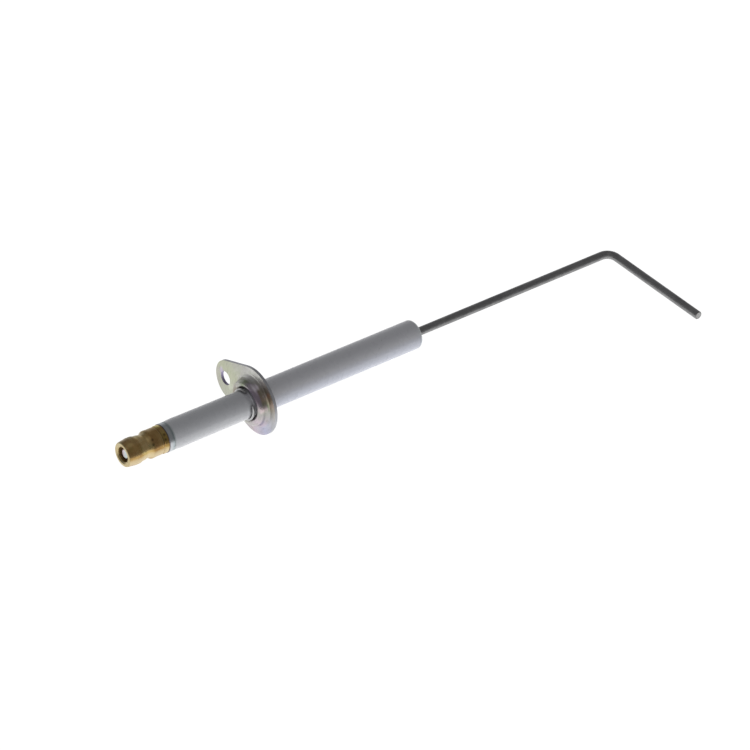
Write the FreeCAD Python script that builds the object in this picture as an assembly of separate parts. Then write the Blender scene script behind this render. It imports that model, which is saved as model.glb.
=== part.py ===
import FreeCAD, Part
import math
import os

# Flame sensor probe. Millimetres.
# +X runs along the insulator towards the flame (hot) end, +Z is up.
# The bent sensing tip points to -Y and the flange's screw tab to +Y.
# The origin is on the insulator's axis, in the plane of the flange's seating
# face, which bears on the burner wall. The terminal is on the -X (cold) side.

# ---- insulator -----------------------------------------------------------
CER_COLD_X = -24.45        # cold end face
CER_HOT_X = 45.25          # hot end face
CER_HOT_R = 3.5            # hot-side outside radius, passes the burner wall
CER_HOT_EDGE_R = 0.9       # rounding of the hot end's outer edge
CER_NECK_R = 3.38          # cold-side radius where the ring sits
CER_COLD_MAX_R = 3.48      # widest place of the cold side, near the terminal
CER_COLD_MAX_X = -22.0
CER_COLD_EDGE_R = 0.2
CER_BORE_R = 1.1           # bore for the rod
BEAD_R = 4.7               # locating bead, hidden in the flange's cup
BEAD_X0, BEAD_X1 = -1.6, -0.05
BEAD_EDGE = 0.3
GROOVE_X0, GROOVE_X1 = -3.80, -2.85   # groove that keeps the ring on the neck
GROOVE_R = 3.26
POCKET_R = 1.6             # cement pocket in the hot end
POCKET_X = 43.25           # its floor

# ---- sensing rod ---------------------------------------------------------
ROD_R = 1.0
ROD_CORNER_X = 104.0       # where the two straight centre lines meet
ROD_BEND_R = 2.5           # centre-line bend radius
ROD_LEG = 31.9             # from the corner to the tip
ROD_TIP_CHAMFER = 0.12
ROD_COLD_X = -35.7         # its other end, upset over the terminal's floor
ROD_HEAD_R = 1.15
ROD_HEAD_EDGE = 0.2
STOP_X0, STOP_X1 = 43.25, 44.45   # two swaged ears, lying in the cement pocket
STOP_R = 1.42
STOP_THICK = 0.9

# ---- snap terminal -------------------------------------------------------
TER_X0, TER_X1 = -36.4, -25.85
TER_CROWN_R = 3.2          # snap head
TER_CROWN_X0, TER_CROWN_X1 = -34.3, -33.3
TER_WAIST_R = 2.76
TER_WAIST_X = -31.0
TER_BODY_R = 3.22
TER_SHOULDER_R = 3.28      # slightly proud shoulder behind the waist
TER_BAND_R = 3.29          # rear band, against the washer
TER_SOCKET_R = 1.8         # open mouth in the front face
TER_SOCKET_DEPTH = 1.4
TER_SINK_R, TER_SINK_DEPTH = 2.2, 0.22     # flare at the mouth's edge
WASHER_R0, WASHER_R1 = 1.15, 3.39      # thick steel washer against the insulator
WASHER_EDGE = 0.12

# ---- flange --------------------------------------------------------------
FL_T = 0.7                 # sheet thickness
FL_ROUND_R = 8.2           # round part of the outline
FL_TAB_R = 4.95            # arc round the tab's tip
FL_TAB_Y = 9.2             # centre of that arc
FL_HOLE_Y = 10.55
FL_HOLE_R = 1.7            # M3 clearance
CUP_H = 2.85               # height of the drawn cup above the seating face
CUP_MOUTH_R = 3.8          # at the inner face; the ring can't pass it
CUP_LIP_R = 0.7            # rounding into the mouth, over the full thickness
CUP_CROWN_R = 4.5          # radius of the crown line
CUP_SHOULDER_R = 1.1
CUP_FOOT_R = 1.0           # outside fillet at the foot of the cup

# ---- small pieces in the cup ---------------------------------------------
GASKET_R0, GASKET_R1 = 3.4, 4.5
GASKET_X0, GASKET_X1 = -2.1, -1.6
RING_X = -3.25             # open wire ring: centre of its section
RING_WIRE_R = 0.3
RING_R = GROOVE_R + RING_WIRE_R        # it grips the groove's floor
RING_GAP_MID, RING_GAP = 127.0, 56.0   # the opening, degrees from +Y to +Z

os.makedirs("parts", exist_ok=True)
V = FreeCAD.Vector
AX = V(1, 0, 0)


def save(shape, name):
    if len(shape.Solids) != 1:
        raise RuntimeError("not one solid: " + name)
    solid = shape.Solids[0]
    if not solid.isValid():
        raise RuntimeError("invalid solid: " + name)
    solid.exportStep("parts/" + name + ".step")


def arc(cx, cr, r, a0, a1):
    """Arc in the X-radius half plane; angles in degrees from +X to +radius."""
    am = 0.5 * (a0 + a1)
    p = [V(cx + r * math.cos(math.radians(a)), 0, cr + r * math.sin(math.radians(a)))
         for a in (a0, am, a1)]
    return Part.Arc(*p).toShape()


def seg(a, b):
    return Part.makeLine(V(a[0], 0, a[1]), V(b[0], 0, b[1]))


def chain(items):
    """Edges through points (x, r) and ready-made edges, joined in order."""
    edges, last = [], None
    for it in items:
        if isinstance(it, tuple):
            start = V(it[0], 0, it[1])
            if last is not None and (start - last).Length > 1e-7:
                edges.append(Part.makeLine(last, start))
            last = start
        else:
            a, b = it.valueAt(it.FirstParameter), it.valueAt(it.LastParameter)
            if last is not None and (a - last).Length > 1e-7:
                edges.append(Part.makeLine(last, a))
            edges.append(it)
            last = b
    first = edges[0].valueAt(edges[0].FirstParameter)
    if (last - first).Length > 1e-7:
        edges.append(Part.makeLine(last, first))
    return edges


def turned(items, angle=360.0):
    face = Part.Face(Part.Wire(chain(items)))
    solid = face.revolve(V(0, 0, 0), AX, angle)
    if solid.Volume < 0:
        solid.reverse()
    return solid


def spline(pts):
    c = Part.BSplineCurve()
    c.interpolate([V(x, 0, r) for x, r in pts])
    return c.toShape()


def tube(x0, x1, r0, r1):
    return turned([(x0, r0), (x0, r1), (x1, r1), (x1, r0)])


# ---- ceramic_insulator ---------------------------------------------------
e = BEAD_EDGE
ceramic = turned([
    (CER_COLD_X, CER_BORE_R + 0.25),
    (CER_COLD_X, 3.35 - CER_COLD_EDGE_R),
    arc(CER_COLD_X + CER_COLD_EDGE_R, 3.35 - CER_COLD_EDGE_R, CER_COLD_EDGE_R, 180, 90),
    spline([(CER_COLD_X + CER_COLD_EDGE_R, 3.35), (-23.4, 3.40), (CER_COLD_MAX_X, CER_COLD_MAX_R),
            (-20.5, 3.462), (-17.5, 3.435), (-12.0, 3.415), (GROOVE_X0 - 0.1, CER_NECK_R)]),
    (GROOVE_X0, GROOVE_R),
    (GROOVE_X1, GROOVE_R),
    (GROOVE_X1 + 0.1, CER_NECK_R),
    (BEAD_X0, CER_NECK_R),
    (BEAD_X0, BEAD_R - e),
    arc(BEAD_X0 + e, BEAD_R - e, e, 180, 90),
    (BEAD_X1 - e, BEAD_R),
    arc(BEAD_X1 - e, BEAD_R - e, e, 90, 0),
    (BEAD_X1, CER_HOT_R),
    (CER_HOT_X - CER_HOT_EDGE_R, CER_HOT_R),
    arc(CER_HOT_X - CER_HOT_EDGE_R, CER_HOT_R - CER_HOT_EDGE_R, CER_HOT_EDGE_R, 90, 0),
    (CER_HOT_X, POCKET_R + 0.12),
    (CER_HOT_X - 0.12, POCKET_R),
    (POCKET_X, POCKET_R),
    (POCKET_X, CER_BORE_R),
    (CER_COLD_X + 0.25, CER_BORE_R),
])
save(ceramic, "ceramic_insulator")

# ---- sensing_rod ---------------------------------------------------------
c = ROD_TIP_CHAMFER
xs = TER_X0 + TER_SOCKET_DEPTH
straight = Part.makeCylinder(ROD_R, ROD_CORNER_X - ROD_BEND_R - xs, V(xs, 0, 0), AX)
h = ROD_HEAD_EDGE
cold_end = turned([
    (ROD_COLD_X, 0),
    (ROD_COLD_X, ROD_HEAD_R - h),
    arc(ROD_COLD_X + h, ROD_HEAD_R - h, h, 180, 90),
    (xs, ROD_HEAD_R),
    (xs, 0),
])
bend_face = Part.Face(Part.Wire(Part.makeCircle(ROD_R, V(ROD_CORNER_X - ROD_BEND_R, 0, 0), AX)))
bend = bend_face.revolve(V(ROD_CORNER_X - ROD_BEND_R, -ROD_BEND_R, 0), V(0, 0, -1), 90)
leg_len = ROD_LEG - ROD_BEND_R
leg = Part.makeCylinder(ROD_R, leg_len - ROD_TIP_CHAMFER,
                        V(ROD_CORNER_X, -ROD_BEND_R, 0), V(0, -1, 0))
tip = Part.makeCone(ROD_R, ROD_R - ROD_TIP_CHAMFER, ROD_TIP_CHAMFER,
                    V(ROD_CORNER_X, -ROD_LEG + ROD_TIP_CHAMFER, 0), V(0, -1, 0))
ears = Part.makeBox(STOP_X1 - STOP_X0, STOP_THICK, 2 * STOP_R,
                    V(STOP_X0, -STOP_THICK / 2, -STOP_R))
ears = ears.common(Part.makeCylinder(STOP_R, STOP_X1 - STOP_X0, V(STOP_X0, 0, 0), AX))
rod = straight.fuse([cold_end, bend, leg, tip, ears]).removeSplitter()
save(rod, "sensing_rod")

# ---- hot_end_cement ------------------------------------------------------
cement = Part.makeCylinder(POCKET_R, CER_HOT_X - 0.15 - POCKET_X, V(POCKET_X, 0, 0), AX)
cement = cement.cut(rod)
save(cement, "hot_end_cement")

# ---- snap_terminal -------------------------------------------------------
terminal = turned([
    (TER_X0, TER_SINK_R),
    (TER_X0, 2.70),
    spline([(TER_X0, 2.70), (-36.3, 2.86), (-36.0, 2.96), (-35.5, 3.03), (-35.0, 3.08),
            (-34.6, 3.14), (TER_CROWN_X0, TER_CROWN_R)]),
    (TER_CROWN_X1, TER_CROWN_R),
    spline([(TER_CROWN_X1, TER_CROWN_R), (-32.9, 3.12), (-32.5, 3.00), (-32.0, 2.95),
            (-31.5, 2.87), (TER_WAIST_X, TER_WAIST_R), (-30.6, 2.81), (-30.25, 3.02),
            (-29.95, 3.22), (-29.55, TER_SHOULDER_R), (-28.9, 3.245), (-28.2, TER_BODY_R)]),
    (-27.35, TER_BODY_R),
    (-27.14, TER_BODY_R - 0.2),
    (-27.0, TER_BODY_R - 0.2),
    (-26.78, TER_BAND_R - 0.03),
    (-26.6, TER_BAND_R),
    (TER_X1 - 0.1, TER_BAND_R),
    (TER_X1, TER_BAND_R - 0.1),
    (TER_X1, ROD_R),
    (xs, ROD_R),
    (xs, TER_SOCKET_R),
    (TER_X0 + TER_SINK_DEPTH, TER_SOCKET_R),
])
save(terminal, "snap_terminal")

# ---- terminal_washer -----------------------------------------------------
e = WASHER_EDGE
washer = turned([
    (TER_X1, WASHER_R0),
    (TER_X1, WASHER_R1 - e),
    arc(TER_X1 + e, WASHER_R1 - e, e, 180, 90),
    (CER_COLD_X - e, WASHER_R1),
    arc(CER_COLD_X - e, WASHER_R1 - e, e, 90, 0),
    (CER_COLD_X, WASHER_R0),
])
save(washer, "terminal_washer")

# ---- mounting_flange -----------------------------------------------------
beta = math.acos((FL_ROUND_R - FL_TAB_R) / FL_TAB_Y)
cb, sb = math.cos(beta), math.sin(beta)


def yz(x, y, z):
    return V(x, y, z)


def outline(x):
    p1 = yz(x, FL_ROUND_R * cb, FL_ROUND_R * sb)
    p2 = yz(x, FL_TAB_Y + FL_TAB_R * cb, FL_TAB_R * sb)
    p3 = yz(x, FL_TAB_Y + FL_TAB_R * cb, -FL_TAB_R * sb)
    p4 = yz(x, FL_ROUND_R * cb, -FL_ROUND_R * sb)
    return Part.Wire([
        Part.Arc(p4, yz(x, -FL_ROUND_R, 0), p1).toShape(),
        Part.makeLine(p1, p2),
        Part.Arc(p2, yz(x, FL_TAB_Y + FL_TAB_R, 0), p3).toShape(),
        Part.makeLine(p3, p4),
    ])


plate = Part.Face(outline(-FL_T)).extrude(V(FL_T, 0, 0))
foot_r = CUP_CROWN_R + CUP_SHOULDER_R + 0.02 + CUP_FOOT_R      # where the cup meets the plate
flank_r = CUP_CROWN_R + CUP_SHOULDER_R
sh_x = -CUP_H + CUP_SHOULDER_R
ft_x = -FL_T - CUP_FOOT_R
plate = plate.cut(Part.makeCylinder(foot_r, 5, V(-3, 0, 0), AX))
cup = turned([
    (0.0, foot_r),
    arc(ft_x, foot_r, CUP_FOOT_R + FL_T, 0, -90),
    arc(sh_x, CUP_CROWN_R, CUP_SHOULDER_R - FL_T, 90, 180),
    (-CUP_H + FL_T, CUP_MOUTH_R),
    arc(-CUP_H + CUP_LIP_R, CUP_CROWN_R, CUP_LIP_R, 270, 180),
    arc(sh_x, CUP_CROWN_R, CUP_SHOULDER_R, 180, 90),
    arc(ft_x, foot_r, CUP_FOOT_R, -90, 0),
])
flange = plate.fuse(cup)
flange = flange.cut(Part.makeCylinder(FL_HOLE_R, 3, V(-2, FL_HOLE_Y, 0), AX))
flange = flange.removeSplitter()
save(flange, "mounting_flange")

# ---- seal_gasket ---------------------------------------------------------
gasket = tube(GASKET_X0, GASKET_X1, GASKET_R0, GASKET_R1)
save(gasket, "seal_gasket")

# ---- retaining_ring ------------------------------------------------------
section = Part.Face(Part.Wire(Part.makeCircle(RING_WIRE_R, V(RING_X, 0, RING_R), V(0, 1, 0))))
ring = section.revolve(V(0, 0, 0), AX, 360.0 - RING_GAP)
# the section starts at +Z (90 degrees) and is swept about +X, from +Z to -Y
# (increasing angle from +Y), so it is turned to start at the gap's far edge
ring.rotate(V(0, 0, 0), AX, RING_GAP_MID + RING_GAP / 2 - 90.0)
save(ring, "retaining_ring")
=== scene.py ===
import bpy
import bmesh
import math
import random
from mathutils import Vector, Matrix


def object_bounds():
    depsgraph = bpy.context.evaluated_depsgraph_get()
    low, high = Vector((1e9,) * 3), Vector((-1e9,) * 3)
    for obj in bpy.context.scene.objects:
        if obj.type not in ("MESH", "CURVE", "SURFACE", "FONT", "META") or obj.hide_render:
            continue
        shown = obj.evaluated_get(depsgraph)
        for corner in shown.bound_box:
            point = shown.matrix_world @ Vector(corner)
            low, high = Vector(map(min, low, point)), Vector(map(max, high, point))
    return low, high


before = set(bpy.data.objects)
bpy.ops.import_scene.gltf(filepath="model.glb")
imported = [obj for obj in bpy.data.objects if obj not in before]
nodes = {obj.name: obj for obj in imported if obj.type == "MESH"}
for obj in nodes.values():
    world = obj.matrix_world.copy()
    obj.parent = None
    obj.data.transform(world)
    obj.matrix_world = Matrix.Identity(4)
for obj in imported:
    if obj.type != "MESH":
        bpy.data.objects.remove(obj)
cad_lo, cad_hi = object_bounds()
cad_lo, cad_hi = cad_lo.copy(), cad_hi.copy()
scene = bpy.context.scene

# ---------------------------------------------------------------- camera
cam_data = bpy.data.cameras.new("camera")
cam = bpy.data.objects.new("camera", cam_data)
scene.collection.objects.link(cam)
cam_data.sensor_width = 36.0
cam_data.lens = 200.34
cam_data.clip_start = 0.02
cam_data.clip_end = 20.0
cx = Vector((0.79036, -0.61154, 0.03676))
cy = Vector((0.33176, 0.47768, 0.81349))
cz = Vector((-0.51503, -0.63075, 0.58042))
cam.matrix_world = Matrix((
    (cx.x, cy.x, cz.x, -0.45830),
    (cx.y, cy.y, cz.y, -0.60305),
    (cx.z, cy.z, cz.z, 0.54777),
    (0, 0, 0, 1)))
scene.camera = cam

# ---------------------------------------------------------------- stage and light
scene.view_settings.view_transform = "Standard"
scene.view_settings.look = "None"
scene.view_settings.exposure = 0.0
scene.view_settings.gamma = 1.0

FLOOR_Z = -0.20


def build_floor():
    bm = bmesh.new()
    bmesh.ops.create_circle(bm, cap_ends=True, segments=96, radius=0.85)
    me = bpy.data.meshes.new("floor")
    bm.to_mesh(me)
    bm.free()
    ob = bpy.data.objects.new("floor", me)
    ob.location = (0.03, -0.01, FLOOR_Z)
    scene.collection.objects.link(ob)
    mat = bpy.data.materials.new("floor_white")
    mat.use_nodes = True
    b = mat.node_tree.nodes["Principled BSDF"]
    b.inputs["Base Color"].default_value = (0.86, 0.86, 0.86, 1)
    b.inputs["Roughness"].default_value = 0.9
    b.inputs["Specular IOR Level"].default_value = 0.2
    b.inputs["Emission Color"].default_value = (1.0, 1.0, 1.0, 1)
    b.inputs["Emission Strength"].default_value = 0.88
    me.materials.append(mat)


build_floor()

world = bpy.data.worlds.new("studio")
scene.world = world
world.use_nodes = True
wb = world.node_tree.nodes["Background"]


def studio_walls():
    """Dim overhead, with a bright cove low down on the far side."""
    t = world.node_tree
    co = t.nodes.new("ShaderNodeTexCoord")
    sep = t.nodes.new("ShaderNodeSeparateXYZ")
    t.links.new(co.outputs["Generated"], sep.inputs[0])
    low = t.nodes.new("ShaderNodeMapRange")
    low.interpolation_type = "SMOOTHSTEP"
    for k, v in (("From Min", 0.02), ("From Max", 0.62), ("To Min", 1.0), ("To Max", 0.0)):
        low.inputs[k].default_value = v
    t.links.new(sep.outputs["Z"], low.inputs["Value"])
    dot = t.nodes.new("ShaderNodeVectorMath")
    dot.operation = "DOT_PRODUCT"
    t.links.new(co.outputs["Generated"], dot.inputs[0])
    dot.inputs[1].default_value = (0.52, 0.85, 0.0)
    far = t.nodes.new("ShaderNodeMapRange")
    far.interpolation_type = "SMOOTHSTEP"
    for k, v in (("From Min", 0.15), ("From Max", 0.80), ("To Min", 0.0), ("To Max", 0.52)):
        far.inputs[k].default_value = v
    t.links.new(dot.outputs["Value"], far.inputs["Value"])
    mul = t.nodes.new("ShaderNodeMath")
    mul.operation = "MULTIPLY_ADD"
    t.links.new(low.outputs["Result"], mul.inputs[0])
    t.links.new(far.outputs["Result"], mul.inputs[1])
    mul.inputs[2].default_value = 0.190
    t.links.new(mul.outputs[0], wb.inputs["Strength"])


studio_walls()
wb.inputs["Color"].default_value = (0.985, 0.985, 1.0, 1)


def area(name, loc, target, size, power, color=(1, 1, 1)):
    d = bpy.data.lights.new(name, "AREA")
    d.shape = "DISK"
    d.size = size
    d.energy = power
    d.color = color
    o = bpy.data.objects.new(name, d)
    scene.collection.objects.link(o)
    o.location = loc
    o.rotation_mode = "QUATERNION"
    o.rotation_quaternion = (Vector(target) - Vector(loc)).to_track_quat("-Z", "Y")
    return o


area("softbox_top", (-0.35, -0.25, 1.3), (0, 0, 0), 1.1, 0.35)

# ---------------------------------------------------------------- material tools


class Mat:
    """A node material with short helpers. Lengths in the coordinates are metres."""

    def __init__(self, name):
        self.m = bpy.data.materials.new(name)
        self.m.use_nodes = True
        self.t = self.m.node_tree
        self.b = self.t.nodes["Principled BSDF"]
        self.co = self.n("ShaderNodeTexCoord").outputs["Object"]

    def n(self, kind, **kw):
        nd = self.t.nodes.new(kind)
        for k, v in kw.items():
            setattr(nd, k, v)
        return nd

    def link(self, a, b):
        self.t.links.new(a, b)

    def set(self, **kw):
        for k, v in kw.items():
            self.b.inputs[k.replace("_", " ")].default_value = v

    def _in(self, sock, v):
        if hasattr(v, "is_output"):
            self.link(v, sock)
        else:
            sock.default_value = v

    def math(self, op, a, b=0.0, c=0.0, clamp=False):
        nd = self.n("ShaderNodeMath", operation=op, use_clamp=clamp)
        self._in(nd.inputs[0], a)
        self._in(nd.inputs[1], b)
        self._in(nd.inputs[2], c)
        return nd.outputs[0]

    def scaled(self, s, co=None):
        """Coordinates multiplied by s, a number or (x, y, z)."""
        nd = self.n("ShaderNodeVectorMath", operation="MULTIPLY")
        self.link(co or self.co, nd.inputs[0])
        nd.inputs[1].default_value = (s, s, s) if isinstance(s, (int, float)) else s
        return nd.outputs[0]

    def noise(self, s, detail=3.0, rough=0.55, distort=0.0, co=None):
        nd = self.n("ShaderNodeTexNoise")
        nd.inputs["Scale"].default_value = 1.0
        nd.inputs["Detail"].default_value = detail
        nd.inputs["Roughness"].default_value = rough
        nd.inputs["Distortion"].default_value = distort
        self.link(self.scaled(s, co), nd.inputs["Vector"])
        return nd.outputs["Fac"]

    def voronoi(self, s, co=None, feature="F1"):
        nd = self.n("ShaderNodeTexVoronoi", feature=feature)
        nd.inputs["Scale"].default_value = 1.0
        self.link(self.scaled(s, co), nd.inputs["Vector"])
        return nd.outputs["Distance"]

    def ramp(self, fac, stops, interp="LINEAR"):
        nd = self.n("ShaderNodeValToRGB")
        cr = nd.color_ramp
        cr.interpolation = interp
        while len(cr.elements) < len(stops):
            cr.elements.new(0.5)
        for e, (p, c) in zip(cr.elements, stops):
            e.position = p
            e.color = (c, c, c, 1) if isinstance(c, (int, float)) else (c[0], c[1], c[2], 1)
        self.link(fac, nd.inputs["Fac"])
        return nd.outputs["Color"]

    def remap(self, v, a, b, lo, hi):
        nd = self.n("ShaderNodeMapRange")
        nd.clamp = True
        self._in(nd.inputs["Value"], v)
        nd.inputs["From Min"].default_value = a
        nd.inputs["From Max"].default_value = b
        nd.inputs["To Min"].default_value = lo
        nd.inputs["To Max"].default_value = hi
        return nd.outputs["Result"]

    def mix(self, fac, a, b, mode="MIX"):
        nd = self.n("ShaderNodeMix", data_type="RGBA", blend_type=mode)
        self._in(nd.inputs["Factor"], fac)
        for s, v in ((nd.inputs["A"], a), (nd.inputs["B"], b)):
            s = [i for i in nd.inputs if i.name == s.name and i.type == "RGBA"][0]
            if hasattr(v, "is_output"):
                self.link(v, s)
            else:
                s.default_value = (v[0], v[1], v[2], 1)
        return [o for o in nd.outputs if o.type == "RGBA"][0]

    def xyz(self, co=None):
        nd = self.n("ShaderNodeSeparateXYZ")
        self.link(co or self.co, nd.inputs[0])
        return nd.outputs["X"], nd.outputs["Y"], nd.outputs["Z"]

    def band(self, v, lo, hi, soft):
        """1 where v is between lo and hi, with soft edges."""
        a = self.remap(v, lo - soft, lo + soft, 0.0, 1.0)
        b = self.remap(v, hi - soft, hi + soft, 1.0, 0.0)
        return self.math("MULTIPLY", a, b)

    def bump(self, height, dist, strength=1.0, prev=None):
        nd = self.n("ShaderNodeBump")
        nd.inputs["Strength"].default_value = strength
        nd.inputs["Distance"].default_value = dist
        self.link(height, nd.inputs["Height"])
        if prev is not None:
            self.link(prev, nd.inputs["Normal"])
        return nd.outputs["Normal"]

    def to(self, name, out):
        self.link(out, self.b.inputs[name])

    def radius(self):
        """Distance from the X axis."""
        x, y, z = self.xyz()
        c = self.n("ShaderNodeCombineXYZ")
        self.link(y, c.inputs["Y"])
        self.link(z, c.inputs["Z"])
        nd = self.n("ShaderNodeVectorMath", operation="LENGTH")
        self.link(c.outputs[0], nd.inputs[0])
        return nd.outputs["Value"]

    def blob(self, centre, half, warp=None, size=0.0):
        """1 at centre, 0 outside an ellipsoid of half-axes half, edges frayed by warp."""
        sub = self.n("ShaderNodeVectorMath", operation="SUBTRACT")
        self.link(self.co, sub.inputs[0])
        sub.inputs[1].default_value = centre
        div = self.n("ShaderNodeVectorMath", operation="DIVIDE")
        self.link(sub.outputs[0], div.inputs[0])
        div.inputs[1].default_value = half
        ln = self.n("ShaderNodeVectorMath", operation="LENGTH")
        self.link(div.outputs[0], ln.inputs[0])
        d = ln.outputs["Value"]
        if warp is not None:
            d = self.math("ADD", d, self.math("MULTIPLY", self.math("SUBTRACT", warp, 0.5), size))
        nd = self.n("ShaderNodeMapRange")
        nd.clamp = True
        nd.interpolation_type = "SMOOTHSTEP"
        self.link(d, nd.inputs["Value"])
        for k, v in (("From Min", 0.25), ("From Max", 1.0), ("To Min", 1.0), ("To Max", 0.0)):
            nd.inputs[k].default_value = v
        return nd.outputs["Result"]

    def spot(self, centre, radius):
        """Falls from 1 at a point to 0 at radius."""
        nd = self.n("ShaderNodeVectorMath", operation="DISTANCE")
        self.link(self.co, nd.inputs[0])
        nd.inputs[1].default_value = centre
        return self.remap(nd.outputs["Value"], 0.0, radius, 1.0, 0.0)


def assign(ob, mat):
    ob.data.materials.clear()
    ob.data.materials.append(mat)


# ---------------------------------------------------------------- glazed ceramic
def glazed_ceramic():
    m = Mat("glazed_ceramic")
    x, y, z = m.xyz()
    tone = m.noise(90.0, 4.0, 0.6)
    base = m.ramp(tone, [(0.30, (0.785, 0.802, 0.838)), (0.55, (0.815, 0.829, 0.862)), (0.75, (0.838, 0.848, 0.872))])
    # the flame side is a little whiter and cooler
    base = m.mix(m.remap(x, -0.001, 0.004, 0.0, 0.75), base, (0.872, 0.876, 0.925))
    # fine clay grain under the glaze
    grain = m.noise(2600.0, 2.0, 0.6)
    base = m.mix(m.remap(grain, 0.62, 0.78, 0.0, 0.10), base, (0.62, 0.62, 0.62))
    # a few dark iron specks
    speck = m.voronoi(420.0)
    base = m.mix(m.remap(speck, 0.035, 0.06, 0.35, 0.0), base, (0.30, 0.27, 0.25))
    # painted teal shade on the ceramic beside the washer, fading out towards the lower side
    low = m.math("ADD", m.math("MULTIPLY", y, -0.94), m.math("MULTIPLY", z, -0.34))
    edge = m.math("MULTIPLY", m.remap(x, -0.02440, -0.02396, 1.0, 0.0), m.remap(low, 0.0018, 0.0033, 0.72, 0.25))
    base = m.mix(edge, base, (0.30, 0.39, 0.385))
    # painted shade on the ceramic beside the ring, close to the flange; faint where the ring is split
    side = m.math("ADD", m.math("MULTIPLY", y, 0.60), m.math("MULTIPLY", z, -0.80))
    under = m.remap(side, -0.0031, -0.0026, 0.0, 1.0)
    # ring_shade is painted shade, not wear
    ring_shade = m.math("MULTIPLY", m.band(x, -0.00405, -0.0028, 0.00022), m.remap(m.noise((1400.0, 900.0, 900.0), 3.0), 0.3, 0.6, 0.55, 1.0))
    base = m.mix(m.math("MULTIPLY", ring_shade, m.remap(under, 0.0, 1.0, 0.10, 0.85)), base, (0.17, 0.17, 0.18))
    # faint soot towards the flame
    soot = m.math("MULTIPLY", m.remap(x, 0.0410, 0.0452, 0.0, 1.0), m.noise(260.0, 4.0))
    base = m.mix(m.math("MULTIPLY", soot, 0.10), base, (0.34, 0.32, 0.31))
    # the glaze thickens, a little green, where it runs over the hot end's edge
    base = m.mix(m.math("MULTIPLY", m.remap(x, 0.04425, 0.04450, 0.0, 0.7), m.remap(x, 0.04516, 0.04522, 1.0, 0.3)), base, (0.850, 0.905, 0.905))
    # painted shade in the crease where the hot end's rounded edge starts, only on the lower side
    crease = m.math("MULTIPLY", m.band(x, 0.04420, 0.04432, 0.00004), m.remap(low, 0.0022, 0.0031, 0.0, 0.30))
    base = m.mix(crease, base, (0.36, 0.40, 0.40))
    # painted bluish reflection on its lower side, on the flame side
    lower_reflection_tint = m.math("MULTIPLY", m.remap(low, 0.0022, 0.0034, 0.0, 1.0), m.remap(x, 0.0, 0.004, 0.0, 1.0))
    base = m.mix(lower_reflection_tint, base, (0.94, 0.97, 1.05), "MULTIPLY")
    m.to("Base Color", base)
    rough = m.remap(m.noise(700.0, 3.0), 0.3, 0.7, 0.24, 0.34)
    m.to("Roughness", rough)
    peel = m.noise(1500.0, 2.0)
    fine = m.noise((500.0, 3800.0, 3800.0), 2.0)
    nrm = m.bump(peel, 0.000004, 0.4)
    nrm = m.bump(fine, 0.000003, 0.35, nrm)
    m.to("Normal", nrm)
    m.set(Coat_Weight=0.25, Coat_Roughness=0.12, IOR=1.52)
    return m.m


# ---------------------------------------------------------------- rod
def oxidised_wire():
    m = Mat("oxidised_wire")
    x, y, z = m.xyz()
    leg = m.remap(x, 0.1021, 0.1031, 0.0, 1.0)
    long_a = m.noise((260.0, 2600.0, 2600.0), 4.0, 0.6)
    long_b = m.noise((2600.0, 260.0, 2600.0), 4.0, 0.6)
    streak = m.math("ADD", m.math("MULTIPLY", long_a, m.math("SUBTRACT", 1.0, leg)), m.math("MULTIPLY", long_b, leg))
    patch = m.noise(420.0, 4.0, 0.65, 0.6)
    v = m.math("ADD", m.math("MULTIPLY", streak, 0.5), m.math("MULTIPLY", patch, 0.5))
    base = m.ramp(v, [(0.34, (0.240, 0.240, 0.242)), (0.50, (0.312, 0.312, 0.314)), (0.66, (0.375, 0.375, 0.376))])
    # sawn tip face: bare metal
    tip = m.remap(y, -0.03184, -0.03176, 1.0, 0.0)
    saw = m.noise((300.0, 300.0, 5200.0), 3.0)
    base = m.mix(tip, base, m.ramp(saw, [(0.35, (0.34, 0.34, 0.34)), (0.65, (0.52, 0.515, 0.51))]))
    c = m.n("ShaderNodeVectorMath", operation="DISTANCE")
    m.link(m.co, c.inputs[0])
    c.inputs[1].default_value = (0.1040, -0.0319, 0.0)
    burr = m.math("MULTIPLY", tip, m.remap(c.outputs["Value"], 0.00058, 0.00082, 0.0, 0.8))
    base = m.mix(burr, base, (0.25, 0.25, 0.25))
    # cold end inside the terminal's mouth: a painted highlight, running cyan to pink across it as a painted reflection,
    # with grey blotches
    rivet = m.remap(x, -0.03506, -0.03500, 1.0, 0.0)
    end_glint = m.ramp(m.remap(y, -0.0009, 0.0009, 0.0, 1.0), [(0.25, (0.70, 0.80, 0.80)), (0.60, (0.77, 0.77, 0.80)), (0.90, (0.76, 0.64, 0.70))])
    base = m.mix(rivet, base, m.mix(m.remap(m.noise(1500.0, 3.0), 0.35, 0.65, 0.0, 0.35), end_glint, (0.52, 0.54, 0.56)))
    # painted shade round the rim of the rod's end
    rim_shade = m.math("MULTIPLY", rivet, m.remap(m.radius(), 0.00092, 0.00112, 0.0, 0.85))
    base = m.mix(rim_shade, base, (0.26, 0.18, 0.17))
    m.to("Base Color", base)
    rough = m.remap(v, 0.35, 0.65, 0.55, 0.44)
    bright = m.math("MAXIMUM", tip, rivet)
    m.to("Roughness", m.math("SUBTRACT", rough, m.math("MULTIPLY", bright, 0.04)))
    nrm = m.bump(streak, 0.000012, 0.6)
    nrm = m.bump(m.noise(3600.0, 2.0), 0.000006, 0.5, nrm)
    nrm = m.bump(m.math("MULTIPLY", saw, tip), 0.00002, 0.5, nrm)
    m.to("Normal", nrm)
    m.set(Metallic=1.0)
    return m.m


# ---------------------------------------------------------------- brass
PITS = [((-0.02973, -0.00201, 0.00255), 0.00034), ((-0.02994, -0.00274, 0.00174), 0.00036),
        ((-0.02653, -0.00200, 0.00260), 0.00034), ((-0.02666, -0.00276, 0.00176), 0.00034)]


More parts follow.
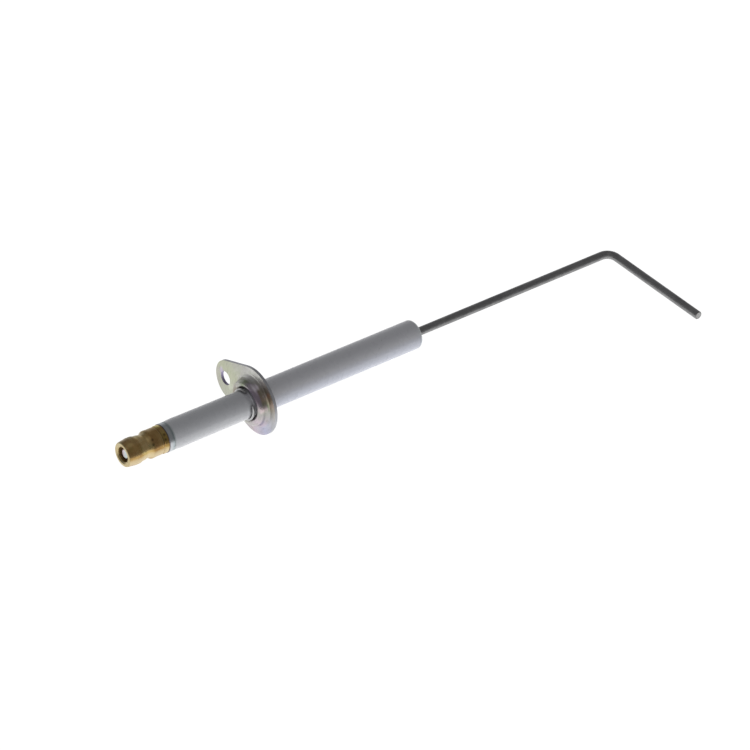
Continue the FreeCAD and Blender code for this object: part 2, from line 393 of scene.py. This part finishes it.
def tarnished_brass():
    m = Mat("tarnished_brass")
    x, y, z = m.xyz()
    r = m.radius()
    cloud = m.noise((420.0, 520.0, 520.0), 5.0, 0.62, 0.8)
    body = m.ramp(cloud, [(0.28, (0.385, 0.215, 0.078)), (0.44, (0.470, 0.290, 0.108)),
                          (0.58, (0.530, 0.345, 0.138)), (0.76, (0.600, 0.435, 0.205))])
    rubbed = m.ramp(cloud, [(0.28, (0.560, 0.375, 0.150)), (0.46, (0.680, 0.480, 0.210)),
                            (0.62, (0.730, 0.540, 0.260)), (0.78, (0.760, 0.620, 0.370))])
    # the head is a little brighter than the body, and the waist brighter still
    body = m.mix(m.remap(x, -0.0331, -0.0335, 0.0, 0.55), body, m.ramp(cloud, [(0.30, (0.450, 0.270, 0.100)), (0.55, (0.640, 0.430, 0.185)), (0.78, (0.720, 0.540, 0.280))]))
    waist = m.band(x, -0.03285, -0.03010, 0.00030)
    base = m.mix(waist, body, rubbed)
    # olive and brown stains
    olive = m.noise(430.0, 3.0, 0.5)
    base = m.mix(m.remap(olive, 0.50, 0.66, 0.0, 0.55), base, (0.42, 0.36, 0.13))
    brown = m.noise((700.0, 420.0, 420.0), 3.0, 0.5, 0.5)
    base = m.mix(m.remap(brown, 0.54, 0.70, 0.0, 0.50), base, (0.36, 0.19, 0.085))
    # turned bands of slightly different wear
    rings = m.noise((2600.0, 40.0, 40.0), 3.0, 0.6)
    base = m.mix(m.remap(rings, 0.50, 0.72, 0.0, 0.30), base, (0.28, 0.17, 0.07))
    base = m.mix(m.remap(rings, 0.46, 0.28, 0.0, 0.22), base, (0.72, 0.58, 0.33))
    # painted shade, redder, over the upper flank of the head and the rear band
    flank = m.math("DIVIDE", m.math("ADD", m.math("MULTIPLY", y, -0.74), m.math("MULTIPLY", z, 0.67)), r)
    rear = m.remap(x, -0.02695, -0.02680, 0.0, 1.0)
    front = m.remap(x, -0.0333, -0.0329, 1.0, 0.0)
    flank_shade = m.math("MULTIPLY", m.remap(flank, 0.92, 0.995, 0.0, 0.8), m.math("MAXIMUM", rear, front))
    base = m.mix(flank_shade, base, (0.96, 0.88, 0.72), "MULTIPLY")
    # a painted highlight on top of the head
    base = m.mix(m.math("MULTIPLY", m.blob((-0.0351, -0.00105, 0.00290), (0.0012, 0.0008, 0.0007), cloud, 0.6), 0.8), base, (0.74, 0.53, 0.22))
    # painted shade along the top, duller and greener on the head; a painted yellow highlight along the rear band's top
    crest = m.math("DIVIDE", m.math("ADD", m.math("MULTIPLY", y, 0.50), m.math("MULTIPLY", z, 0.866)), r)
    top_shade_and_glint = m.mix(front, (0.72, 0.84, 1.02), (0.52, 0.57, 0.70))
    top_shade_and_glint = m.mix(rear, top_shade_and_glint, (1.18, 1.42, 1.36))
    base = m.mix(m.remap(crest, 0.84, 0.97, 0.0, 1.0), base, top_shade_and_glint, "MULTIPLY")
    # painted light on the lower side: paler underneath as a painted reflection; the rear band a little greener all
    # round
    under = m.math("DIVIDE", m.math("ADD", m.math("MULTIPLY", y, -0.94), m.math("MULTIPLY", z, -0.34)), r)
    base = m.mix(rear, base, (1.0, 1.07, 1.0), "MULTIPLY")
    base = m.mix(m.band(under, 0.86, 0.95, 0.04), base, (0.91, 0.90, 0.76), "MULTIPLY")
    base = m.mix(m.remap(under, 0.91, 0.99, 0.0, 0.70), base, (0.72, 0.62, 0.40))
    # a painted highlight along the groove's edge, and the cleaned front face
    groove_edge_glint = m.band(x, -0.02744, -0.02724, 0.00006)
    base = m.mix(m.math("MULTIPLY", groove_edge_glint, 0.45), base, (0.80, 0.66, 0.36))
    face = m.math("MULTIPLY", m.remap(x, -0.03630, -0.03620, 1.0, 0.0), m.remap(r, 0.00178, 0.00184, 0.0, 1.0))
    flare = m.math("MULTIPLY", m.remap(x, -0.03618, -0.03612, 1.0, 0.0), m.band(r, 0.00182, 0.0023, 0.00003))
    face = m.math("MAXIMUM", face, flare)
    base = m.mix(m.math("MULTIPLY", face, 0.9), base, m.ramp(cloud, [(0.3, (0.47, 0.37, 0.18)), (0.7, (0.62, 0.54, 0.34))]))
    # painted shade in the groove and against the washer
    recess_shade = m.math("ADD", m.band(x, -0.02722, -0.02696, 0.00008), m.band(x, -0.02598, -0.0257, 0.00006), clamp=True)
    base = m.mix(m.math("MULTIPLY", recess_shade, 0.28), base, (0.17, 0.095, 0.06))
    # bore: golden at the lip, painted shade darkening it deeper down
    bore = m.math("MULTIPLY", m.remap(r, 0.00184, 0.00190, 1.0, 0.0), m.remap(x, -0.03622, -0.03614, 0.0, 1.0))
    depth = m.remap(x, -0.0361, -0.0352, 0.0, 1.0)
    wall = m.mix(depth, (0.66, 0.51, 0.20), (0.46, 0.34, 0.22))
    base = m.mix(m.math("MULTIPLY", bore, 0.92), base, wall)
    for c, rad in PITS:
        base = m.mix(m.remap(m.spot(c, 1.45 * rad), 0.05, 0.75, 0.0, 0.75), base, (0.12, 0.07, 0.028))
    m.to("Base Color", base)
    rough = m.remap(cloud, 0.3, 0.7, 0.34, 0.25)
    m.to("Roughness", m.math("ADD", rough, m.math("MULTIPLY", bore, 0.20)))
    turned = m.noise((9000.0, 60.0, 60.0), 2.0, 0.6)
    nrm = m.bump(turned, 0.000012, 0.55)
    nrm = m.bump(m.noise(1700.0, 3.0), 0.00001, 0.5, nrm)
    for c, rad in PITS:
        nrm = m.bump(m.spot(c, 1.2 * rad), 0.00010, -0.7, nrm)
    m.to("Normal", nrm)
    m.set(Metallic=1.0)
    return m.m


# ---------------------------------------------------------------- zinc flange
# Colours of passivated zinc, named, and roughly where each one lies on the
# plate, on the foot and flank of the cup and on its crown: degrees round the
# axis from +Y towards +Z.
STRAW, OLIVE, GREY = (0.47, 0.49, 0.36), (0.24, 0.29, 0.18), (0.43, 0.43, 0.40)
PALE, LILAC, BLUE = (0.65, 0.65, 0.62), (0.52, 0.44, 0.54), (0.47, 0.48, 0.62)
PINK, BRONZE, UMBER = (0.56, 0.48, 0.53), (0.52, 0.42, 0.32), (0.28, 0.24, 0.19)
MAUVE = (0.40, 0.33, 0.39)
PLATE = [(-180, GREY), (-130, BLUE), (-95, PINK), (-60, GREY), (15, STRAW), (60, GREY),
         (105, PALE), (150, BRONZE), (180, GREY)]
FOOT = [(-180, GREY), (-130, LILAC), (-90, GREY), (20, GREY), (65, PALE), (90, PALE),
        (125, UMBER), (145, BRONZE), (163, OLIVE), (180, GREY)]
CROWN = [(-180, GREY), (-150, PINK), (-100, GREY), (10, UMBER), (50, GREY), (75, OLIVE),
         (105, LILAC), (145, MAUVE), (180, GREY)]


def iridescent_zinc():
    m = Mat("iridescent_zinc")
    x, y, z = m.xyz()
    r = m.radius()
    normal = m.n("ShaderNodeTexCoord").outputs["Normal"]
    nx, ny, nz = m.xyz(normal)
    ang = m.math("ARCTAN2", z, y)
    turn = m.remap(ang, -math.pi, math.pi, 0.0, 1.0)
    cloud = m.noise(520.0, 4.0, 0.6, 0.8)
    # streaks along the way round, left by the drawing tool
    c = m.n("ShaderNodeCombineXYZ")
    m.link(m.math("MULTIPLY", turn, 22.0), c.inputs["X"])
    m.link(m.math("MULTIPLY", x, 2300.0), c.inputs["Y"])
    m.link(m.math("MULTIPLY", r, 2300.0), c.inputs["Z"])
    streak = m.noise(1.0, 4.0, 0.65, 0.4, co=c.outputs[0])
    warped = m.math("ADD", turn, m.math("MULTIPLY", m.math("SUBTRACT", cloud, 0.5), 0.075))
    warped = m.math("ADD", warped, m.math("MULTIPLY", m.math("SUBTRACT", streak, 0.5), 0.045))

    def around(table):
        return m.ramp(warped, [((a + 180.0) / 360.0, col) for a, col in table])

    plate, foot, crown = around(PLATE), around(FOOT), around(CROWN)
    up = m.remap(x, -0.00175, -0.00215, 0.0, 1.0)
    out = m.math("MULTIPLY", m.remap(x, -0.00095, -0.00074, 0.0, 1.0), m.remap(r, 0.0060, 0.0066, 0.0, 1.0))
    base = m.mix(up, foot, crown)
    base = m.mix(out, base, plate)
    # lilac and straw stains round the screw hole and the tab's tip
    base = m.mix(m.blob((-0.0007, 0.0121, 0.0011), (0.002, 0.0011, 0.0015), cloud, 1.0), base, (0.49, 0.43, 0.54))
    base = m.mix(m.blob((-0.0007, 0.0134, -0.0010), (0.002, 0.0012, 0.0040), cloud, 1.0), base, (0.48, 0.47, 0.41))
    base = m.mix(m.blob((-0.0007, 0.0086, -0.0012), (0.002, 0.0012, 0.0014), cloud, 1.0), base, (0.54, 0.56, 0.46))
    # painted highlight streaks on the cup's flank: lilac-white above, pinkish-white lower down; then an orange-brown
    # stain
    base = m.mix(m.blob((-0.0019, -0.0020, 0.0053), (0.0012, 0.0016, 0.0011), streak, 1.6), base, (0.80, 0.72, 0.80))
    base = m.mix(m.blob((-0.0020, -0.0054, 0.0012), (0.0016, 0.0010, 0.0014), streak, 1.6), base, (0.72, 0.60, 0.61))
    base = m.mix(m.blob((-0.0008, -0.0056, 0.0046), (0.0009, 0.0008, 0.0010), cloud, 1.0), base, (0.64, 0.43, 0.31))
    # value streaks and cloudy patches
    base = m.mix(m.remap(streak, 0.56, 0.74, 0.0, 0.42), base, (0.74, 0.72, 0.70))
    base = m.mix(m.remap(streak, 0.46, 0.28, 0.0, 0.42), base, (0.22, 0.21, 0.19))
    tint = m.noise(900.0, 3.0, 0.6)
    base = m.mix(m.remap(tint, 0.54, 0.70, 0.0, 0.16), base, (0.56, 0.46, 0.58))
    base = m.mix(m.remap(tint, 0.46, 0.30, 0.0, 0.16), base, (0.44, 0.52, 0.34))
    # sheared edge of the sheet: duller, bluish
    flat = m.math("ABSOLUTE", nx)
    rim = m.math("MULTIPLY", m.remap(flat, 0.35, 0.60, 1.0, 0.0), m.remap(x, -0.00078, -0.00072, 0.0, 1.0))
    edge = m.ramp(m.noise((5200.0, 700.0, 700.0), 3.0, 0.6), [(0.32, (0.46, 0.465, 0.485)), (0.68, (0.66, 0.665, 0.70))])
    base = m.mix(rim, base, edge)
    hd = m.n("ShaderNodeVectorMath", operation="DISTANCE")
    flatco = m.scaled((0.0, 1.0, 1.0))
    m.link(flatco, hd.inputs[0])
    hd.inputs[1].default_value = (0.0, 0.01055, 0.0)
    hole = m.math("MULTIPLY", rim, m.remap(hd.outputs["Value"], 0.0019, 0.0020, 1.0, 0.0))
    base = m.mix(hole, base, (0.40, 0.36, 0.50))
    # painted shade in the cup's mouth
    throat = m.math("MULTIPLY", m.remap(r, 0.00385, 0.00412, 1.0, 0.0), m.remap(x, -0.0010, -0.0014, 0.0, 1.0))
    base = m.mix(m.math("MULTIPLY", throat, 0.85), base, (0.10, 0.10, 0.10))
    m.to("Base Color", base)
    rough = m.remap(m.noise(620.0, 4.0, 0.65), 0.3, 0.7, 0.26, 0.38)
    m.to("Roughness", m.math("ADD", rough, m.math("MULTIPLY", rim, 0.22)))
    nrm = m.bump(m.noise(1000.0, 3.0), 0.00002, 0.5)
    nrm = m.bump(streak, 0.00004, 0.5, nrm)
    nrm = m.bump(m.noise(5200.0, 2.0), 0.000008, 0.5, nrm)
    m.to("Normal", nrm)
    m.set(Metallic=1.0)
    return m.m


# ---------------------------------------------------------------- ring, washer
def spring_steel(name, dark, light, rough0, rough1):
    m = Mat(name)
    v = m.noise(700.0, 4.0, 0.6, 0.5)
    m.to("Base Color", m.ramp(v, [(0.32, dark), (0.68, light)]))
    m.to("Roughness", m.remap(m.noise(1300.0, 3.0), 0.3, 0.7, rough0, rough1))
    nrm = m.bump(m.noise(2600.0, 3.0), 0.000008, 0.6)
    m.to("Normal", nrm)
    m.set(Metallic=1.0)
    return m.m


def satin_steel():
    m = Mat("satin_steel")
    x, y, z = m.xyz()
    v = m.noise((1500.0, 500.0, 500.0), 4.0, 0.6, 0.4)
    base = m.ramp(v, [(0.32, (0.50, 0.54, 0.56)), (0.68, (0.64, 0.66, 0.69))])
    # painted shade on the washer: a dark band against the brass and a teal band towards the ceramic
    base = m.mix(m.remap(x, -0.02578, -0.02570, 0.8, 0.0), base, (0.17, 0.11, 0.13))
    base = m.mix(m.remap(x, -0.02500, -0.02456, 0.0, 0.60), base, (0.25, 0.33, 0.33))
    m.to("Base Color", base)
    m.to("Roughness", m.remap(v, 0.3, 0.7, 0.38, 0.28))
    m.to("Normal", m.bump(m.noise((400.0, 4200.0, 4200.0), 2.0), 0.000008, 0.5))
    m.set(Metallic=1.0)
    return m.m


# ---------------------------------------------------------------- cement, gasket
def refractory_cement():
    m = Mat("refractory_cement")
    v = m.noise(1500.0, 5.0, 0.7)
    base = m.ramp(v, [(0.30, (0.42, 0.40, 0.37)), (0.55, (0.62, 0.60, 0.56)), (0.75, (0.74, 0.72, 0.68))])
    grit = m.voronoi(3200.0)
    base = m.mix(m.remap(grit, 0.10, 0.25, 0.5, 0.0), base, (0.30, 0.28, 0.26))
    m.to("Base Color", base)
    m.to("Roughness", m.remap(v, 0.3, 0.7, 0.95, 0.78))
    m.to("Normal", m.bump(m.noise(2200.0, 5.0, 0.7), 0.00012, 0.9))
    return m.m


def pressed_fibre():
    m = Mat("pressed_fibre")
    v = m.noise((3000.0, 900.0, 900.0), 5.0, 0.7, 1.0)
    m.to("Base Color", m.ramp(v, [(0.30, (0.07, 0.07, 0.075)), (0.55, (0.15, 0.15, 0.15)), (0.75, (0.27, 0.26, 0.25))]))
    m.to("Roughness", m.remap(v, 0.3, 0.7, 0.95, 0.85))
    m.to("Normal", m.bump(m.noise(3600.0, 4.0, 0.7), 0.00008, 0.8))
    return m.m


assign(nodes["ceramic_insulator"], glazed_ceramic())
assign(nodes["sensing_rod"], oxidised_wire())
assign(nodes["snap_terminal"], tarnished_brass())
assign(nodes["mounting_flange"], iridescent_zinc())
assign(nodes["retaining_ring"], spring_steel("bright_spring_steel", (0.36, 0.36, 0.365), (0.54, 0.54, 0.54), 0.24, 0.36))
assign(nodes["terminal_washer"], satin_steel())
assign(nodes["hot_end_cement"], refractory_cement())
assign(nodes["seal_gasket"], pressed_fibre())
